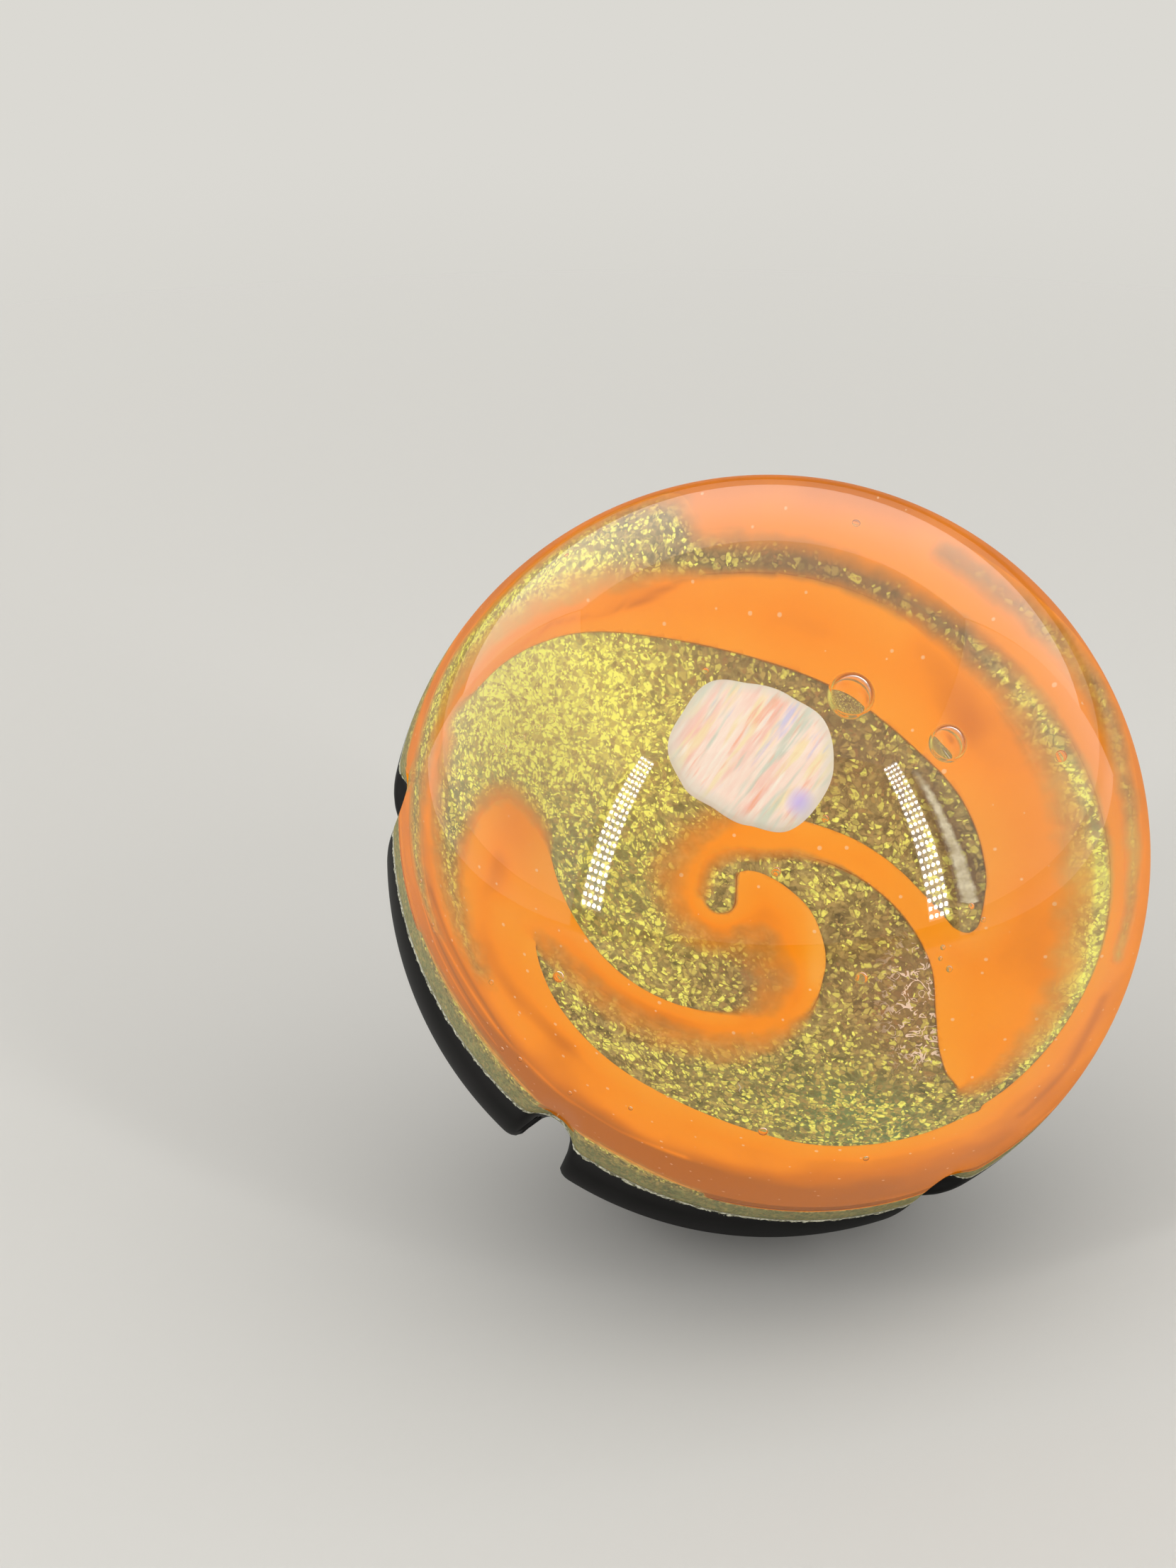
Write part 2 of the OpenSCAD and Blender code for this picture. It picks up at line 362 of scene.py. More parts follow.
# Keeps the part of the faces where depth is negative. New points are (a, b, share) of old ones.
def cutAway(points, faces, depth):
    kept = depth < 0
    count = kept[faces].sum(1)
    newFaces = faces[count == 3].tolist()
    made, cuts = {}, []

    def between(a, b):
        key = (min(a, b), max(a, b))
        if key not in made:
            made[key] = len(points) + len(cuts)
            cuts.append((key[0], key[1], depth[key[0]] / (depth[key[0]] - depth[key[1]])))
        return made[key]

    for face in faces[(count == 1) | (count == 2)].tolist():
        odd = kept[face].sum() == 1
        k = [i for i in range(3) if kept[face[i]] == odd][0]
        a, b, c = face[k], face[(k + 1) % 3], face[(k + 2) % 3]
        ab, ac = between(a, b), between(a, c)
        newFaces += [[a, ab, ac]] if odd else [[ab, b, c], [ab, c, ac]]
    return np.array(newFaces), np.array(cuts)


def withCuts(values, cuts):
    a, b, t = cuts[:, 0].astype(int), cuts[:, 1].astype(int), cuts[:, 2]
    if values.ndim > 1:
        t = t[:, None]
    return np.concatenate([values, values[a] * (1 - t) + values[b] * t])


# Closes a sheet with a second face below it and walls along its edges
def thicken(points, faces, drop):
    n = len(points)
    pairs = np.concatenate([faces[:, [0, 1]], faces[:, [1, 2]], faces[:, [2, 0]]])
    key = np.sort(pairs, 1)
    _, where, times = np.unique(key[:, 0] * n + key[:, 1], return_index=True, return_counts=True)
    a, b = pairs[where[times == 1]].T
    walls = np.concatenate([np.stack([a, a + n, b + n], 1), np.stack([a, b + n, b], 1)])
    below = points - np.array([0, 0, drop])
    return np.concatenate([points, below]), np.concatenate([faces, faces[:, ::-1] + n, walls]), len(walls)


# Colour nodes

def toLinear(code):
    parts = [int(code[i:i + 2], 16) / 255 for i in (1, 3, 5)]
    return [*(c / 12.92 if c <= 0.04045 else ((c + 0.055) / 1.055) ** 2.4 for c in parts), 1]


# Inputs go by name, or in a list in the node's own order, which for a map range is the value, from
# minimum and maximum, to minimum and maximum. They are numbers, hex colours, sockets, or nodes that
# give their first output. stops fill a ramp.
def addNode(tree, kind, inputs=(), stops=(), **settings):
    node = tree.nodes.new("ShaderNode" + kind)
    for key, value in settings.items():
        setattr(node, key, value)
    byName = isinstance(inputs, dict)
    sockets = [node.inputs[key] for key in inputs] if byName else [s for s in node.inputs if s.enabled]
    for socket, value in zip(sockets, inputs.values() if byName else inputs):
        if isinstance(value, bpy.types.Node):
            value = next(output for output in value.outputs if output.enabled)
        if isinstance(value, bpy.types.NodeSocket):
            tree.links.new(value, socket)
        else:
            socket.default_value = toLinear(value) if isinstance(value, str) else value
    for n, (position, code) in enumerate(stops):
        stop = node.color_ramp.elements[n] if n < 2 else node.color_ramp.elements.new(position)
        stop.position, stop.color = position, toLinear(code)
    return node


def newMaterial(name):
    material = bpy.data.materials.new(name)
    material.use_nodes = True
    material.node_tree.nodes.clear()
    return material, partial(addNode, material.node_tree)


def dress(piece, material, slotName, *nodes):
    piece.data.materials.append(material)
    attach(piece, "root")
    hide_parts(*nodes)


# Clear dome

domeLook = {
    "below": 0.3,          # the hidden underside lies this far under the dish, mm
    "bend": 1.47,          # refractive index
    "bubbleBend": 1.18,
    "held": (0.52, 0.92, 0.8),     # the mirror held back: from, to and by how much
}
bubbles = {
    "largest": 0.85,       # radius of the largest, mm
    "places": [            # x, y, z in ball radii and the share of the largest
        (.10, .25, .20, 1), (.285, .18, .20, .8), (.15, -.315, .18, .28), (-.53, -.47, .25, .30),
        (-.06, -.80, .26, .25), (.50, .21, .12, .25), (-.02, -.10, .15, .22), (-.472, .184, -.10, .26),
        (-.426, .212, -.11, .2), (-.392, .235, -.115, .2), (-.362, .257, -.12, .2),
        (-.292, .296, -.13, .14), (.10, .59, .20, .18), (-.18, .27, .20, .15),
        (.06, 0, .20, .16), (.32, -.28, .20, .15), (-.50, .53, .20, .14), (.20, -.81, .20, .16),
        (-.36, -.77, .20, .12), (.303, -.235, .20, .12), (.30, -.26, .20, .1),
        (.352, -.14, .20, .14), (.378, -.165, .20, .12),
        (-.816, -.192, .030, .13), (-.564, -.345, -.048, .13), (-.629, -.595, .044, .13),
        (-.559, -.582, .015, .14), (-.418, -.610, -.017, .12), (-.787, -.296, .031, .10)],
    "rings": 14,
}


def ballPoints(centre, radius, rings):
    polar = np.repeat(np.linspace(0, 180, rings + 1)[1:-1], 2 * rings)
    angle = np.tile(np.arange(2 * rings) * 180 / rings, rings - 1)
    points = np.concatenate([[[0, 0, 1]], onBall(polar, angle), [[0, 0, -1]]]) * radius + centre
    i = np.arange(2 * rings)
    j = (i + 1) % (2 * rings)
    last = len(points) - 1
    faces = [np.stack([0 * i, 1 + i, 1 + j], 1),
             np.stack([last + 0 * i, last - 2 * rings + j, last - 2 * rings + i], 1)]
    for k in range(rings - 2):
        faces.append(strip(1 + 2 * rings * (k + 1), 1 + 2 * rings * k, 2 * rings))
    return points, np.concatenate(faces)


def makeDome():
    rings = 128
    share, angle, faces = discGrid(rings)
    directions = onBall(share * blackPolar, angle)
    points = directions * outerRadius(directions)[:, None]
    # the hidden underside, a little below the colours so that they're met first
    below = domeLook["below"]
    rim = points[-6 * rings:]
    rimFlat = np.linalg.norm(rim[:, :2], axis=1)
    fall = dishHeight(np.minimum(rimFlat, edgeRadius)) - below - rim[:, 2]
    rows = []
    for s in (.997, .99, .98, .965, .95, .93, .9, .8, .6, .4, .2, .05):
        height = dishHeight(rimFlat * s) - below - smoothStep(.93, 1, s) * fall
        rows.append(np.column_stack([rim[:, :2] * s, height]))
    points, faces = closeRows(points, faces, rows, (0, 0, dishHeight(0.0) - below), True)
    bubblesFrom = len(faces)
    for x, y, z, size in bubbles["places"]:
        middle = ballRadius * np.array([x, y, z])
        more, walls = ballPoints(middle, bubbles["largest"] * size, bubbles["rings"])
        faces = np.concatenate([faces, walls[:, ::-1] + len(points)])
        points = np.concatenate([points, more])
    piece = makePiece("clear_dome_glass", points, faces)
    slots = np.zeros(len(piece.data.polygons), int)
    slots[bubblesFrom:] = 1
    piece.data.polygons.foreach_set("material_index", slots)
    return piece


# How far to hold the gloss back towards the silhouette, where a pale room would veil the colour
def holdBack(add, start, end, most):
    facing = add("LayerWeight", {"Blend": 0.5}).outputs["Facing"]
    return add("MapRange", [facing, start, end, 0.0, most], interpolation_type="SMOOTHSTEP")


# Borosilicate glass, gathered and fire polished: no colour, mirror smooth, with faint cords in it.
# The bubbles' walls bend light less than real ones do, so that the small bubbles stay clear.
def clearGlass(name, bend):
    material, add = newMaterial(name)
    place = add("Attribute", attribute_name="place").outputs["Vector"]
    cords = add("TexNoise", {"Vector": place, "Scale": 0.12, "Detail": 1.0})  # 8 mm
    waves = add("Bump", {"Strength": 0.05, "Distance": 0.0002, "Height": cords})
    glass = add("BsdfPrincipled", {
        "Base Color": "#FFFFFF", "Roughness": 0.0, "IOR": bend, "Transmission Weight": 1.0,
        "Normal": waves})
    plain = add("BsdfRefraction", {"Roughness": 0.0, "IOR": bend, "Normal": waves})
    inside = add("NewGeometry").outputs["Backfacing"]
    held = add("Mix", [inside, holdBack(add, *domeLook["held"]), 0.0])
    glass = add("MixShader", [held, glass, plain])
    through = add("BsdfTransparent")
    rays = add("LightPath")
    inner = add("MixShader", [rays.outputs["Is Diffuse Ray"], glass, through])
    outer = add("MixShader", [rays.outputs["Is Shadow Ray"], inner, through])
    add("OutputMaterial", {"Surface": outer})
    return material


dome = makeDome()
dress(dome, clearGlass("borosilicate fire polished", domeLook["bend"]), "clear_glass", "clear_dome")
dome.data.materials.append(clearGlass("bubble wall", domeLook["bubbleBend"]))
print(f"clear dome: {len(dome.data.polygons)} faces")


# Glitter layer

glitterLook = {
    # size of a flake in mm, the share of the flakes that are drawn, and how far their pattern is shifted
    "flakes": [(0.23, 1.0, 0.0), (0.15, 0.5, 17.3), (0.10, 0.4, 41.9)],
    # painted glint: where the flakes are drawn lighter, as if lying flat to the light: direction, ball
    # radii, mm and amount
    "paintedGlint": [(140, .46, 4.0, 1.0), (125, .36, 3.0, .4), (158, .54, 2.5, .4), (142, .64, 2.4, .9),
               (122, .61, 1.6, .7), (160, .71, 1.8, .6), (8, .585, 1.3, 1.6), (24, .585, 1.2, 1.0),
               (-8, .585, 1.3, 1.3), (-22, .58, 1.3, .8), (205, .22, 3.0, .25), (40, .60, 1.0, .6),
               (196, .60, 2.0, .2), (12, .66, 1.0, .8), (-5, .66, 1.0, .6)],
    # where brown shows more than green
    "brown": [(68, .37, 2.6, .5), (84, .575, 2.2, .9), (70, .585, 2.0, .5), (58, .60, 2.2, .8),
              (-22, .32, 2.2, .8), (100, .42, 2.0, .4), (-40, .40, 1.8, .4), (45, .33, 1.8, .4),
              (285, .15, 1.2, .7)],
    # where it is greenest
    "green": [(270, .42, 3.0, .4), (298, .52, 3.0, .7), (178, .26, 2.6, .7), (180, .78, 2.4, .8),
              (-62, .50, 2.4, .5), (170, .50, 2.4, .5)],
    # where short pale threads show
    "threads": [(345, .33, .8, 1.1), (338, .36, 1.0, 1.2), (330, .385, 1.1, 1.1), (322, .42, .9, .9)],
    # the pale streak drawn out in the tip of the long tongue, a drawn-out bubble whose silvery look is a
    # painted highlight
    "streak": [(-4, .407), (4, .393), (12, .385), (23, .380), (39, .383), (48, .385)],
    "streakSpan": (4, 39),     # its two ends, degrees
    "streakHalf": (.28, .09),  # half its width at the two ends, mm
    "halo": 0.45,              # width of the painted brown shadow beside it, mm
    # colours from dull to bright, with where each lies on the scale; the brightest flake shades are
    # painted glints
    "body": [(0.34, "#584A26"), (0.49, "#927A42"), (0.66, "#CDB268")],
    "flakeShades": [(0.0, "#544828"), (0.20, "#776538"), (0.42, "#9C854C"), (0.60, "#BE9E5A"),
                    (0.75, "#D6C262"), (0.86, "#ECE268"), (0.94, "#FFF872"), (1.0, "#FFFB74")],
    "streakSheen": [(0.30, "#BCAD86"), (0.66, "#E8DFBE")],
    "tints": {"green": "#7F8C54", "brown": "#8F6E45", "paintedGlint": "#E6D872", "golden": "#A87A48",
              "thread": "#F0D2B6", "halo": "#6A4826", "shadow": "#3A3418", "thinOrange": "#BC863E"},
    "brighten": (0.6, 0.35),   # how far the painted glint spots lift the body and the flakes
    "darken": -0.12,           # how far brown ones lower the flakes
    "flakeGap": (0.02, 0.16),  # in flakes, from the bare joint to the whole flake
    "crispShadow": (0.3, 0.12),    # the shadow along crisp edges: mm and how dark
    "sunk": 0.08,              # mm from the dish down to its face
    "dive": (0.06, 0.28, 0.4),     # mm: under the orange from here, over this, and later at soft edges
    "wall": (0.2, 0.02, 6),    # mm below the orange, mm above its own floor, and rows of points
    "side": {"depth": 9, "fade": 0.03, "paintedGlint": -1.2, "green": 0.65, "across": 9},    # dull side
}


def glitterFields(flat):
    depth, fade = swirlField(flat)
    # the streak's own directions: 0 to 1 along it, and mm across it
    first, last = glitterLook["streakSpan"]
    angle = (np.degrees(np.arctan2(flat[:, 1], flat[:, 0])) + 90) % 360 - 90
    middle = np.interp(angle, *np.array(glitterLook["streak"]).T)
    spots = {name: softSpots(flat, glitterLook[name]) for name in ("paintedGlint", "brown", "green", "threads")}
    return {"depth": depth, "fade": fade, **spots,
            "along": np.clip((angle - first) / (last - first), -1, 2),
            "across": np.linalg.norm(flat, axis=1) - ballRadius * middle}


# The colour of the glitter glass, which the thin edges of the orange also show
def glitterColour(add, share):
    place = add("Attribute", attribute_name="place").outputs["Vector"]
    paintedGlint, brown, green, threads, along, across = (
        add("Attribute", attribute_name=name).outputs["Fac"]
        for name in ("paintedGlint", "brown", "green", "threads", "along", "across"))
    look, tints = glitterLook, glitterLook["tints"]
    liftBody, liftFlake = look["brighten"]
    # a little stirring, 1.5 mm across
    stir = add("TexNoise", {"Vector": place, "Scale": 0.7, "Detail": 2.0})
    moved = add("VectorMath", [stir.outputs["Color"], (.6, .6, .6), place], operation="MULTIPLY_ADD")
    # the body: flakes too deep to be sharp, in blots of 0.6 mm
    blots = add("TexNoise", {"Vector": moved, "Scale": 1.8, "Detail": 5.0, "Roughness": 0.75})
    colour = add("ValToRGB", {"Fac": blots}, stops=look["body"])
    # painted light: the body is lifted towards pale yellow in the glint spots
    lift = add("Math", [paintedGlint, liftBody], operation="MULTIPLY", use_clamp=True)
    for amount, tint in ((green, "green"), (brown, "brown"), (lift, "paintedGlint")):
        colour = add("Mix", [amount, colour, tints[tint]], data_type="RGBA")
    clear = add("MapRange", [share, 0.3, 0.9])
    for size, drawn, offset in look["flakes"]:
        shifted = add("VectorMath", [moved, (offset, offset, offset)], operation="ADD")
        cells = add("TexVoronoi", {"Vector": shifted, "Scale": 1 / size})
        gaps = add("TexVoronoi", {"Vector": shifted, "Scale": 1 / size}, feature="DISTANCE_TO_EDGE")
        chance = add("SeparateColor", [cells.outputs["Color"]])
        isDrawn = add("Math", [chance.outputs["Red"], drawn], operation="LESS_THAN")
        bare, full = look["flakeGap"]
        whole = add("MapRange", [gaps, bare, full])
        shade = chance.outputs["Green"]
        # painted glint: the flakes are raised towards their brightest shades in the glint spots, and
        # lowered in brown ones
        for spots, amount in ((paintedGlint, liftFlake), (brown, look["darken"])):
            shade = add("Math", [spots, amount, shade], operation="MULTIPLY_ADD")
        flake = add("ValToRGB", {"Fac": shade}, stops=look["flakeShades"])
        # see-through at the dull end, so that the body's own green and brown show
        solid = add("MapRange", [shade, 0.3, 0.8, 0.35, 1.0])
        mask = isDrawn
        for part in (whole, solid, clear):
            mask = add("Math", [mask, part], operation="MULTIPLY")
        golden = add("MapRange", [chance.outputs["Blue"], 0.75, 0.95, 0.0, 0.5])
        toBrown = add("Math", [
            brown, chance.outputs["Blue"], golden], operation="MULTIPLY_ADD", use_clamp=True)
        flake = add("Mix", [toBrown, flake, tints["golden"]], data_type="RGBA")
        colour = add("Mix", [mask, colour, flake], data_type="RGBA")
    # curled pale threads
    curl = add("TexNoise", {"Vector": place, "Scale": 2.4, "Detail": 1.0, "Distortion": 1.5})  # 0.4 mm
    level = add("Math", [curl, 0.5, 0.034], operation="COMPARE")
    spread = add("TexNoise", {"Vector": place, "Scale": 2.9, "Detail": 0.0})  # 0.35 mm
    broken = add("Math", [spread, 0.5], operation="GREATER_THAN")
    level = add("Math", [level, broken], operation="MULTIPLY")
    isThread = add("Math", [level, threads], operation="MULTIPLY", use_clamp=True)
    colour = add("Mix", [isThread, colour, tints["thread"]], data_type="RGBA")
    # the pale streak, ragged and grained like silk, painted pale as a highlight, with a painted brown
    # shadow on both sides
    grain = add("TexNoise", {"Vector": place, "Scale": 3.0, "Detail": 3.0, "Roughness": 0.6})  # 0.33 mm
    wide, narrow = look["streakHalf"]
    within = add("MapRange", [along, 0.0, 1.0, wide, narrow])
    ragged = add("Math", [grain, 0.2, -0.10], operation="MULTIPLY_ADD")
    aside = add("Math", [across], operation="ABSOLUTE")
    inside = add("Math", [within, aside], operation="SUBTRACT")
    ends = add("MapRange", [along, 0.0, 0.04, -0.6, 0.0])
    edge = inside
    for change in (ragged, ends):
        edge = add("Math", [edge, change], operation="ADD")
    beyond = add("MapRange", [along, 0.9, 1.1, 1.0, 0.0])
    halo = add("MapRange", [edge, -look["halo"], 0.0, 0.0, 0.7], interpolation_type="SMOOTHSTEP")
    halo = add("Math", [halo, beyond], operation="MULTIPLY")
    pale = add("MapRange", [edge, -0.03, 0.10, 0.0, 0.85])
    pale = add("Math", [pale, beyond], operation="MULTIPLY")
    streakSheen = add("ValToRGB", {"Fac": grain}, stops=look["streakSheen"])
    colour = add("Mix", [halo, colour, tints["halo"]], data_type="RGBA")
    return add("Mix", [pale, colour, streakSheen], data_type="RGBA")


# How much glitter shows, from 0 in whole orange to 1, with a grainy edge where the orange is thin
def glitterShare(add):
    place = add("Attribute", attribute_name="place").outputs["Vector"]
    depth, fade = (add("Attribute", attribute_name=name).outputs["Fac"] for name in ("depth", "fade"))
    grain = add("TexNoise", {"Vector": place, "Scale": 1.3, "Detail": 3.0})  # 0.8 mm
    around = add("Math", [grain, 0.5], operation="SUBTRACT")
    wander = add("Math", [around, fade, depth], operation="MULTIPLY_ADD")
    start = add("Math", [fade, -1.0], operation="MULTIPLY")
    return add("MapRange", [wander, start, fade], interpolation_type="SMOOTHSTEP")


# From orange to glitter, by way of the warm brown of thin orange over dark glass
def blendOver(add, orangeColour):
    share = glitterShare(add)
    half = add("Math", [share, share], operation="MULTIPLY")
    half = add("Math", [share, half], operation="SUBTRACT")
    tinted = add("Math", [half, 0.9], operation="MULTIPLY")
    thin = glitterLook["tints"]["thinOrange"]
    colour = add("Mix", [share, orangeColour, glitterColour(add, share)], data_type="RGBA")
    return add("Mix", [tinted, colour, thin], data_type="RGBA")


# How near a point is to a crisp edge: 1 at the edge and 0 beyond this reach in mm
def nearCrispEdge(add, reach):
    depth, fade = (add("Attribute", attribute_name=name).outputs["Fac"] for name in ("depth", "fade"))
    away = add("Math", [depth], operation="ABSOLUTE")
    near = add("MapRange", [away, 0.0, reach, 1.0, 0.0])
    whole, none = swirl["crisp"]
    crisp = add("MapRange", [fade, whole, none, 1.0, 0.0])
    return add("Math", [near, crisp], operation="MULTIPLY")


# From deep to light, with where each lies on the scale
orangeShades = [(0.0, "#B8661A"), (0.28, "#E07B0B"), (0.50, "#FF9410"), (0.74, "#FFA024"),
                (1.0, "#FFB348")]


def makeGlitter():
    rings = 100
    share, angle, faces = discGrid(rings)
    radius = share * rimRadius(angle, 0.0, marble["skin"])
    flat = onPlane(angle, radius)
    fields = glitterFields(flat)
    soft = smoothStep(*swirl["soft"], fields["fade"])
    start, over, later = glitterLook["dive"]
    under = marble["orangeThick"] * smoothStep(0, over, -fields["depth"] - start - later * soft)
    points = np.column_stack([flat, dishHeight(radius) - glitterLook["sunk"] - under])
    # down the side, then across the back
    rimAngle = angle[-6 * rings:]
    first, last, count = glitterLook["wall"]
    rows = []
    for sunk in np.linspace(marble["orangeThick"] + first, marble["glitterThick"] - last, count):
        rim = rimRadius(rimAngle, sunk, marble["skin"])
        rows.append(np.column_stack([onPlane(rimAngle, rim), dishHeight(rim, sunk)]))
    for s in (.9, .7, .5, .3, .1):
        rows.append(np.column_stack([onPlane(rimAngle, rim * s), dishHeight(rim * s, sunk)]))
    top = len(points)
    points, faces = closeRows(points, faces, rows, (0, 0, dishHeight(0.0, sunk)), True)
    fields = {key: np.concatenate([values, np.full(len(points) - top, glitterLook["side"].get(key, 0.0))])
              for key, values in fields.items()}
    return makePiece("glitter_layer_glass", points, faces, fields)


# Glass packed with coated flakes: a soft olive body with small sharp chips of varied colour, whose
# brightest shades are painted glints
def glitterGlass():
    material, add = newMaterial("flake glitter glass")
    colour = blendOver(add, orangeShades[2][1])
    reach, amount = glitterLook["crispShadow"]
    shadow = add("Math", [nearCrispEdge(add, reach), amount], operation="MULTIPLY")
    tint = glitterLook["tints"]["shadow"]
    colour = add("Mix", [shadow, colour, tint], data_type="RGBA")
    shader = add("BsdfPrincipled", {"Base Color": colour, "Roughness": 0.5, "Specular IOR Level": 0.0})
    add("OutputMaterial", {"Surface": shader})
    return material


glitter = makeGlitter()
dress(glitter, glitterGlass(), "glitter_glass", "glitter_layer")
print(f"glitter: {len(glitter.data.polygons)} faces")


# Orange arms and ring

orangeLook = {
    # painted shade in folds and creases and painted highlights on ridges, with streaks of deeper and
    # lighter orange: places as direction and ball radii, width in mm, and how much lighter
    "streaks": [
        ([(80, .549), (91, .541), (101, .536), (112, .514), (120, .52), (130, .555), (150, .62),
          (168, .655)], .12, -.45),
        ([(168, .42), (180, .45), (192, .52)], 2.2, .45),
        ([(171, .435), (180, .463), (188, .475)], .8, -.4),
        ([(184, .477), (192, .53), (201, .573), (208, .588), (217, .573), (228, .548)], .6, -.35),
        ([(201, .421), (213, .389), (226, .353), (245, .304), (267, .286)], .5, -.15),
        ([(11, .12), (342, .133), (312, .163), (288, .199)], .7, .1),
        ([(10, .152), (343, .164), (318, .19)], .5, .4),
        ([(200, .79), (208, .765), (220, .757), (234, .755), (246, .735), (258, .707)], .2, .5),
        ([(236, .775), (250, .755), (262, .74)], .5, -.3),
        ([(186, .80), (200, .822), (215, .812), (232, .80), (246, .79)], .14, -.4),
        ([(188, .84), (204, .86), (222, .85)], .16, .4),
        ([(191, .70), (204, .69), (230, .69), (255, .68), (275, .66)], 1.0, .2),
        ([(320, .72), (332, .70), (346, .66)], .25, -.35),
        ([(58, .526), (50, .505), (42, .494)], .55, -.32),
        ([(193, .746), (202, .734), (214, .726), (225, .754)], .2, -.4)],
    "specks": 0.9,         # mm between the small seeds in the orange
    "seeds": (0.5, 0.08, 0.45),    # share of places without one, largest radius in places, strength
    "clouds": 3.5,         # mm across
    "cloudy": 0.09,        # how far they change the shade
    "ringShadeSide": 75,        # where the painted shade on the ring is deepest, and opposite it: degrees
    "ringShade": (0.12, 0.52),      # painted shade all round, and more there
    "ringFrom": (.58, .80),        # ball radii
    "dip": (0.04, 0.07),   # mm: how far the face dips at crisp edges, and more at soft ones
    "dipWide": (0.25, 0.6),
    "least": 0.01,         # mm kept between any point and the line of an edge
    "crispLight": (1.3, 0.22),     # lighter along crisp edges: mm and amount
    "seedColour": "#FFDDB0",
}


def makeOrange():
    share, angle, faces = discGrid(112)
    radius = share * rimRadius(angle, 0.0, marble["skin"])
    flat = onPlane(angle, radius)
    fields = glitterFields(flat)
    depth, least = fields["depth"], orangeLook["least"]
    fields["depth"] = np.where(np.abs(depth) < least, np.sign(depth) * least, depth)
    faces, cuts = cutAway(flat, faces, fields["depth"])
    flat = withCuts(flat, cuts)
    fields = {key: withCuts(values, cuts) for key, values in fields.items()}
    toneAndShade = np.full(len(flat), 0.5)
    # painted shade in folds and creases and painted highlights on ridges, along with real streaks of
    # deeper and lighter orange
    for places, width, amount in orangeLook["streaks"]:
        toneAndShade += 0.5 * amount * np.exp(-(lineDistance(flat, places) / width) ** 2)
    reach = np.linalg.norm(flat, axis=1) / ballRadius
    # painted shade: the ring lies steeper, so it is darkened, most of all at the top and the bottom
    facing = np.cos(np.arctan2(flat[:, 1], flat[:, 0]) - math.radians(orangeLook["ringShadeSide"])) ** 2
    allRound, more = orangeLook["ringShade"]
    fields["toneAndShade"] = toneAndShade - (allRound + more * facing) * smoothStep(*orangeLook["ringFrom"], reach)
    # at a crisp edge the face dips just short of the glitter, and at a faded one it sinks into it
    soft = smoothStep(*swirl["soft"], fields["fade"])
    (low, deeper), (near, wider) = orangeLook["dip"], orangeLook["dipWide"]
    dip = (low + deeper * soft) * (1 - smoothStep(0, 1, -fields["depth"] / (near + wider * soft)))
    points = np.column_stack([flat, dishHeight(reach * ballRadius) - dip])
    used = np.unique(faces)
    number = np.zeros(len(points), int)
    number[used] = np.arange(len(used))
    points, faces, walls = thicken(points[used], number[faces], marble["orangeThick"])
    fields = {key: np.tile(values[used], 2) for key, values in fields.items()}
    print(f"orange: {len(used)} points on top")
    return makePiece("orange_swirl_glass", points, faces, fields, flat=walls)


# Dense orange glass under the dome: even and opaque, cloudy in places, with seeds and thin edges
def orangeGlass():
    material, add = newMaterial("opaque orange glass")
    place = add("Attribute", attribute_name="place").outputs["Vector"]
    # this field carries painted shade in folds and on the steep ring, painted highlights on ridges, and
    # the orange's own tone
    toneAndShade = add("Attribute", attribute_name="toneAndShade").outputs["Fac"]
    clouds = add("TexNoise", {
        "Vector": place, "Scale": 1 / orangeLook["clouds"], "Detail": 3.0, "Roughness": 0.45})
    change = orangeLook["cloudy"]
    cloudy = add("MapRange", [clouds, 0.3, 0.7, -change, change])
    mixed = add("Math", [toneAndShade, cloudy], operation="ADD")
    reach, amount = orangeLook["crispLight"]
    edge = add("Math", [nearCrispEdge(add, reach), amount, mixed], operation="MULTIPLY_ADD")
    colour = add("ValToRGB", {"Fac": edge}, stops=orangeShades)
    # seeds: round, up to 0.14 mm across, in half of the places
    cells = add("TexVoronoi", {
        "Vector": place, "Scale": 1 / orangeLook["specks"]}, voronoi_dimensions="2D")
    chance = add("SeparateColor", [cells.outputs["Color"]])
    empty, largest, strength = orangeLook["seeds"]
    size = add("MapRange", [chance.outputs["Red"], empty, 1.0, 0.0, largest])
    inSeed = add("Math", [cells, size], operation="LESS_THAN")
    seed = add("Math", [inSeed, strength], operation="MULTIPLY")
    colour = add("Mix", [seed, colour, orangeLook["seedColour"]], data_type="RGBA")
    colour = blendOver(add, colour)
    shader = add("BsdfPrincipled", {"Base Color": colour, "Roughness": 0.5, "Specular IOR Level": 0.0})
    add("OutputMaterial", {"Surface": shader})
    return material


orange = makeOrange()
dress(orange, orangeGlass(), "orange_glass", "orange_swirl")


# Black back

blackLook = {
    "line": (0.10, 0.42),      # narrowest and widest part of the bright line at its edge, mm
    "lineShades": [(0.38, "#6E6C50"), (0.60, "#D8D7C0")],
    "body": [(0.35, "#040404"), (0.70, "#0D0B0C")],
    "polish": (0.02, 0.07),    # roughness
    "gloss": 0.35,
    "held": (0.35, 0.75, 0.85),    # the gloss held back: from, to and by how much
}


def makeBack():
    rings = 116
    share, angle, faces = discGrid(rings)
    directions = onBall(180 - share * (180 - blackPolar), angle)
    points = directions * outerRadius(directions)[:, None]
    rim, sunk = points[-6 * rings:], marble["glitterThick"]
    rimFlat = np.linalg.norm(rim[:, :2], axis=1)
    rows = [np.column_stack([rim[:, :2] * s, dishHeight(rimFlat * s, sunk)])
            for s in (.995, .98, .95, .9, .8, .7, .6, .5, .4, .3, .2, .1)]
    points, faces = closeRows(points, faces[:, ::-1], rows, (0, 0, dishHeight(0.0, sunk)), False)
    fromEdge = np.zeros(len(points))
    fromEdge[:len(share)] = (1 - share) * np.radians(180 - blackPolar) * ballRadius
    return makePiece("black_back_glass", points, faces, {"fromEdge": fromEdge})


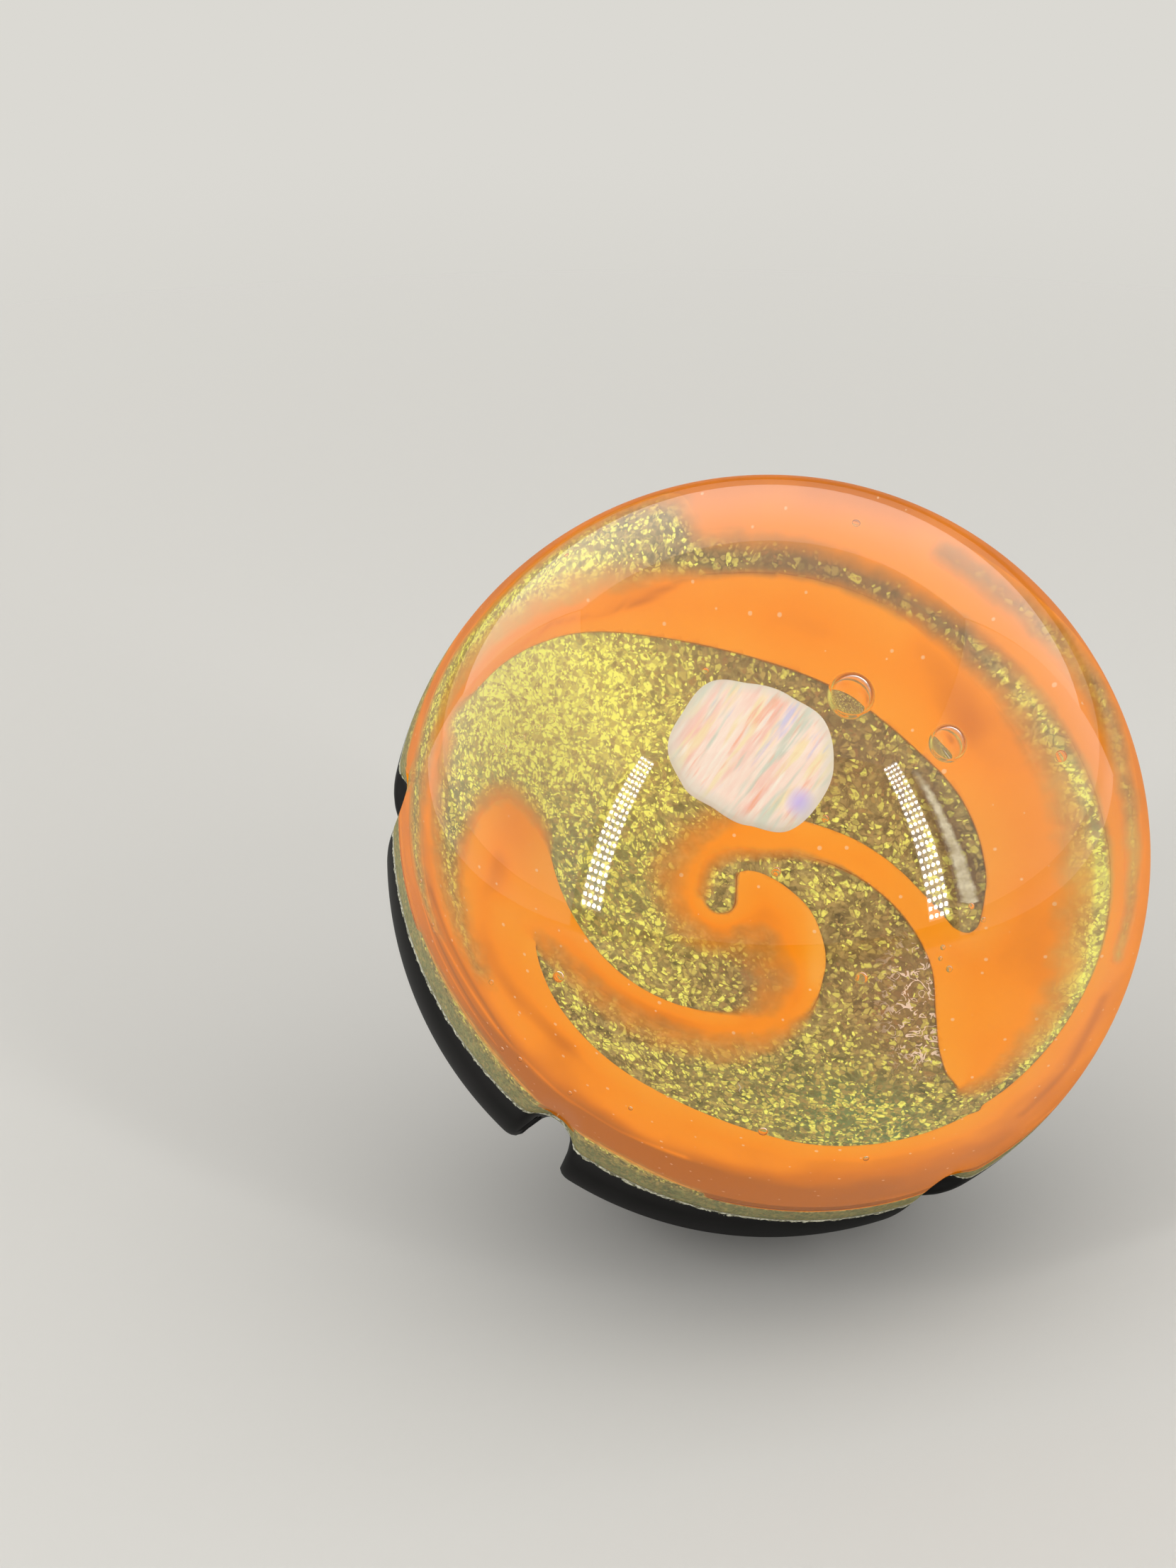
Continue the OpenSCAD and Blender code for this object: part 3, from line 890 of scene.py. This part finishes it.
# Black glass, fire polished: deep and wet looking, with a bright broken line where it meets the flakes
def blackGlass():
    material, add = newMaterial("black glass fire polished")
    place = add("Attribute", attribute_name="place").outputs["Vector"]
    fromEdge = add("Attribute", attribute_name="fromEdge").outputs["Fac"]
    swirls = add("TexNoise", {"Vector": place, "Scale": 0.35, "Detail": 4.0, "Distortion": 1.2})  # 3 mm
    body = add("ValToRGB", {"Fac": swirls}, stops=blackLook["body"])
    ragged = add("TexNoise", {"Vector": place, "Scale": 1.8, "Detail": 4.0, "Roughness": 0.7})  # 0.6 mm
    narrow, wide = blackLook["line"]
    width = add("MapRange", [ragged, 0.40, 0.68, narrow, wide])
    inLine = add("Math", [fromEdge, width], operation="LESS_THAN")
    fine = add("TexNoise", {"Vector": place, "Scale": 6.0, "Detail": 2.0})  # 0.17 mm
    silver = add("ValToRGB", {"Fac": fine}, stops=blackLook["lineShades"])
    colour = add("Mix", [inLine, body, silver], data_type="RGBA")
    smoothest, roughest = blackLook["polish"]
    polish = add("MapRange", [swirls, 0.3, 0.7, smoothest, roughest])
    shader = add("BsdfPrincipled", {
        "Base Color": colour, "Roughness": polish, "IOR": 1.5, "Specular IOR Level": blackLook["gloss"]})
    plain = add("BsdfPrincipled", {"Base Color": colour, "Roughness": 0.3, "Specular IOR Level": 0.0})
    held = holdBack(add, *blackLook["held"])
    shader = add("MixShader", [held, shader, plain])
    add("OutputMaterial", {"Surface": shader})
    return material


back = makeBack()
dress(back, blackGlass(), "black_glass", "black_back")
print(f"black back: {len(back.data.polygons)} faces")


# Opal chip

opal = {
    "place": (-2.25, 1.3, 5.7),
    "length": 6.4,
    "thick": 1.2,
    "edgeThick": 0.5,
    "shape": [1, 1.03, .92, .90, 1, .94, 1, .93, .82, .87, 1, .97],
    "grainTurn": 57,       # direction of its bands, degrees from +X
    "violet": (1.9, -1.75, 0.8),   # the violet spot's place on the chip and its size, mm
    "milk": "#FFE3CE", "violetColour": "#B7A6F2", "rimColour": "#DCD6C2",
    # bands: mm along, mm across, how much of the stone, and the colour
    "bands": [(5.0, 0.75, .46, .64, "#F8B9A4"), (3.6, 0.50, .52, .68, "#FAE3A2"),
              (4.0, 0.60, .53, .68, "#BFCFB8"), (3.0, 0.36, .57, .70, "#F9A379"),
              (2.6, 0.30, .56, .72, "#FFF1DC"), (3.0, 0.42, .60, .76, "#C3BCE4")],
    "fibres": [(0.30, "#EFA991"), (0.5, "#F5D8C2"), (0.70, "#FFF6E4")],
}


def makeOpal():
    rings = 40
    share, angle, faces = discGrid(rings)
    s = angle / 360 * len(opal["shape"])
    i = s.astype(int)
    u = (1 - np.cos(np.pi * (s - i))) / 2
    shape = np.array(opal["shape"])
    half = opal["length"] / 2 * (shape[i % len(shape)] * (1 - u) + shape[(i + 1) % len(shape)] * u)
    flat = onPlane(angle, half * share)
    rise = (opal["thick"] - opal["edgeThick"]) / 2 * (1 - share ** 2)
    rise += opal["edgeThick"] / 2 * np.sqrt(np.clip(1 - share ** 14, 0, 1))
    top, bottom = np.column_stack([flat, rise]), np.column_stack([flat, -rise])
    faces = np.concatenate([faces, faces[:, ::-1] + len(top)])
    points = np.concatenate([top, bottom]) + np.array(opal["place"])
    return makePiece("opal_chip_glass", points, faces, {"share": np.tile(share, 2)})


# Grown opal, tumbled: a milky peach stone with narrow bands of soft colours and a watery rim
def bandedOpal():
    material, add = newMaterial("grown opal")
    place = add("Attribute", attribute_name="place").outputs["Vector"]
    share = add("Attribute", attribute_name="share").outputs["Fac"]
    own = add("VectorMath", [place, opal["place"]], operation="SUBTRACT")
    turned = add("VectorRotate", {
        "Vector": own, "Angle": -math.radians(opal["grainTurn"])}, rotation_type="Z_AXIS")
    colour = opal["milk"]
    for along, across, low, high, code in opal["bands"]:
        scaled = add("VectorMath", [
            turned, (1 / along, 1 / across, 0.4), (along * 7, across * 31, low * 9)],
            operation="MULTIPLY_ADD")
        noise = add("TexNoise", {"Vector": scaled, "Scale": 1.0, "Detail": 2.5, "Roughness": 0.6})
        band = add("MapRange", [noise, low, high, 0.0, 0.8], interpolation_type="SMOOTHSTEP")
        colour = add("Mix", [band, colour, code], data_type="RGBA")
    fibres = add("VectorMath", [turned, (0.8, 5.0, 0.4)], operation="MULTIPLY")
    fibres = add("TexNoise", {
        "Vector": fibres, "Scale": 1.0, "Detail": 3.0, "Roughness": 0.65, "Distortion": 0.3})
    silky = add("ValToRGB", {"Fac": fibres}, stops=opal["fibres"])
    colour = add("Mix", [0.2, colour, silky], data_type="RGBA")
    x, y, size = opal["violet"]
    away = add("VectorMath", [own, (x, y, 0)], operation="DISTANCE")
    spot = add("MapRange", [away, size * 0.4, size, 0.75, 0.0])
    colour = add("Mix", [spot, colour, opal["violetColour"]], data_type="RGBA")
    rim = add("MapRange", [share, 0.80, 0.98, 0.0, 0.75])
    colour = add("Mix", [rim, colour, opal["rimColour"]], data_type="RGBA")
    shader = add("BsdfPrincipled", {"Base Color": colour, "Roughness": 0.4, "Specular IOR Level": 0.0})
    add("OutputMaterial", {"Surface": shader})
    return material


chip = makeOpal()
dress(chip, bandedOpal(), "opal", "opal_chip")
print(f"opal chip: {len(chip.data.polygons)} faces")


# Stage: floor, lights and camera

view = {
    "image": (1659, 2212),
    "focal": 4500,              # in pixels of that image
    "ballPixel": (1081, 1206),  # where the middle of the ball falls
    "down": 24.3,               # degrees that the camera looks down
    "aim": 18.5,                # degrees that it looks to the right of +Y
    "distance": 160.4,          # mm from the middle of the ball
}


def addCamera():
    aim, down = math.radians(view["aim"]), math.radians(view["down"])
    forward = Vector((math.sin(aim) * math.cos(down), math.cos(aim) * math.cos(down), -math.sin(down)))
    right = Vector((math.cos(aim), -math.sin(aim), 0))
    up = right.cross(forward)
    width, height = view["image"]
    across = (view["ballPixel"][0] - width / 2) / view["focal"]
    under = (view["ballPixel"][1] - height / 2) / view["focal"]
    toBall = (forward + right * across - up * under).normalized()
    data = bpy.data.cameras.new("camera")
    data.sensor_width = 36
    data.lens = data.sensor_width * view["focal"] / height
    data.clip_start = 0.01
    camera = bpy.data.objects.new("camera", data)
    camera.matrix_world = (Matrix.Translation(-toBall * view["distance"] * mm)
                           @ Matrix((right, up, -forward)).transposed().to_4x4())
    bpy.context.scene.collection.objects.link(camera)
    bpy.context.scene.camera = camera
    return math.degrees(math.atan2(toBall.x, toBall.y))


facing = addCamera()
print(f"camera looks {facing:.2f} degrees right of +Y at the ball")

# A white box that is open to the front: x right, y away and z up as the camera stands, in mm
box = {
    "half": 420,           # half its width, and the height of its roof
    "back": 353,
    "front": -294,
    "wallScale": 0.476,    # the side walls stand nearer, so that they reach lower on the ball
    "backFoot": 64,        # the back wall starts this far above the middle of the ball
    "seenFrom": (9, -10, 13),  # where the ball mirrors the corners, which have to close there
    "roofGlow": 0.48, "backGlow": 1.2, "wallGlow": 0.88, "fillGlow": 0.35, "backdropGlow": 1.0,
    "backdrop": "#DBD9D3",
    "stripPlace": (167, -147, 110), "stripSize": (25, 205), "stripGlow": 30, "stripAim": (.8, .61),
    "dots": (4, 24), "dotRadius": 2.4, "boardGlow": 0.1,    # dots across and up, mm, share of their glow
}


# A soft lamp with this middle, the way that it shines, and its width and height
def addPanel(name, middle, shines, size, glow):
    turn = Matrix.Rotation(math.radians(-facing), 3, "Z")
    back = -Vector(shines).normalized()
    up = Vector((0, 0, 1)) if abs(back.z) < 0.9 else Vector((0, 1, 0))
    right = up.cross(back).normalized()
    data = bpy.data.lights.new(name, "AREA")
    data.shape = "RECTANGLE"
    data.size, data.size_y = size[0] * mm, size[1] * mm
    data.energy = glow * math.pi * data.size * data.size_y
    lamp = bpy.data.objects.new(name, data)
    lamp.matrix_world = (Matrix.Translation(turn @ Vector(middle) * mm)
                         @ (turn @ Matrix((right, up, back)).transposed()).to_4x4())
    lamp.visible_camera = False
    bpy.context.scene.collection.objects.link(lamp)
    return lamp


half, wall = box["half"], box["wallScale"]
depth, halfway = box["back"] - box["front"], (box["back"] + box["front"]) / 2
addPanel("roof", (0, halfway, half), (0, 0, -1), (2 * half, depth), box["roofGlow"])
addPanel("back wall", (0, box["back"], (half + box["backFoot"]) / 2), (0, -1, 0),
         (2 * half, half - box["backFoot"]), box["backGlow"])
for side, name in ((-1, "left"), (1, "right")):
    x, y, z = ((1 - wall) * p for p in box["seenFrom"])
    top = wall * half + z
    addPanel(name + " wall", (side * (wall * half + x), wall * halfway + y,
                              (top - ballRadius) / 2), (-side, 0, 0),
             (wall * depth, top + ballRadius), box["wallGlow"])
    x, y, z = box["stripPlace"]
    inward, away = box["stripAim"]
    lamp = addPanel(name + " strip", (side * x, y, z), (-side * inward, away, 0), box["stripSize"],
                    box["stripGlow"])
    # rows of small bright dots on a white board
    lamp.data.use_nodes = True
    tree = lamp.data.node_tree
    add = partial(addNode, tree)
    spread = add("NewGeometry").outputs["Parametric"]
    scaled = add("VectorMath", [spread, (*box["dots"], 0)], operation="MULTIPLY")
    inCell = add("VectorMath", [scaled], operation="FRACTION")
    cell = [size / count for size, count in zip(box["stripSize"], box["dots"])]
    inCell = add("VectorMath", [inCell, (*cell, 0)], operation="MULTIPLY")
    away = add("VectorMath", [inCell, (cell[0] / 2, cell[1] / 2, 0)], operation="DISTANCE")
    dot = add("Math", [away, box["dotRadius"]], operation="LESS_THAN")
    level = add("Math", [dot, box["boardGlow"]], operation="MAXIMUM")
    tree.links.new(level.outputs[0], tree.nodes["Emission"].inputs["Strength"])

# Soft fill from all round, and a paler backdrop straight behind and through the glass
world = bpy.data.worlds.new("studio")
world.use_nodes = True
bpy.context.scene.world = world
tree = world.node_tree
add = partial(addNode, tree)
rays = add("LightPath").outputs
seen = rays["Is Camera Ray"]
for kind in ("Is Glossy Ray", "Is Transmission Ray"):
    seen = add("Math", [seen, rays[kind]], operation="MAXIMUM")
strength = add("MapRange", [seen, 0.0, 1.0, box["fillGlow"], box["backdropGlow"]])
tree.nodes["Background"].inputs["Color"].default_value = toLinear(box["backdrop"])
tree.links.new(strength.outputs[0], tree.nodes["Background"].inputs["Strength"])


card = {
    "reach": 3000,         # mm
    "fade": (90, 240),     # mm from the ball
    "colour": "#D6D4CF",
}


# Plain pale card, matt. To the camera it runs out into the backdrop, as a curved sheet does.
def addFloor():
    mesh = bpy.data.meshes.new("floor")
    reach, z = card["reach"] * mm, -ballRadius * mm
    mesh.from_pydata([(-reach, -reach, z), (reach, -reach, z), (reach, reach, z), (-reach, reach, z)],
                     [], [(0, 1, 2, 3)])
    floor = bpy.data.objects.new("floor", mesh)
    bpy.context.scene.collection.objects.link(floor)
    material, add = newMaterial("pale matt card")
    shader = add("BsdfPrincipled", {
        "Base Color": card["colour"], "Roughness": 0.9, "Specular IOR Level": 0.2})
    beyond = add("BsdfTransparent")
    place = add("TexCoord").outputs["Object"]
    away = add("VectorMath", [place], operation="LENGTH")
    near, far = card["fade"]
    fade = add("MapRange", [away, near * mm, far * mm], interpolation_type="SMOOTHSTEP")
    seen = add("LightPath").outputs["Is Camera Ray"]
    fade = add("Math", [fade, seen], operation="MULTIPLY")
    shader = add("MixShader", [fade, shader, beyond])
    add("OutputMaterial", {"Surface": shader})
    mesh.materials.append(material)


addFloor()
bpy.context.scene.view_settings.view_transform = "Standard"
print(f"stage: floor, backdrop and {len(bpy.data.lights)} lamps")
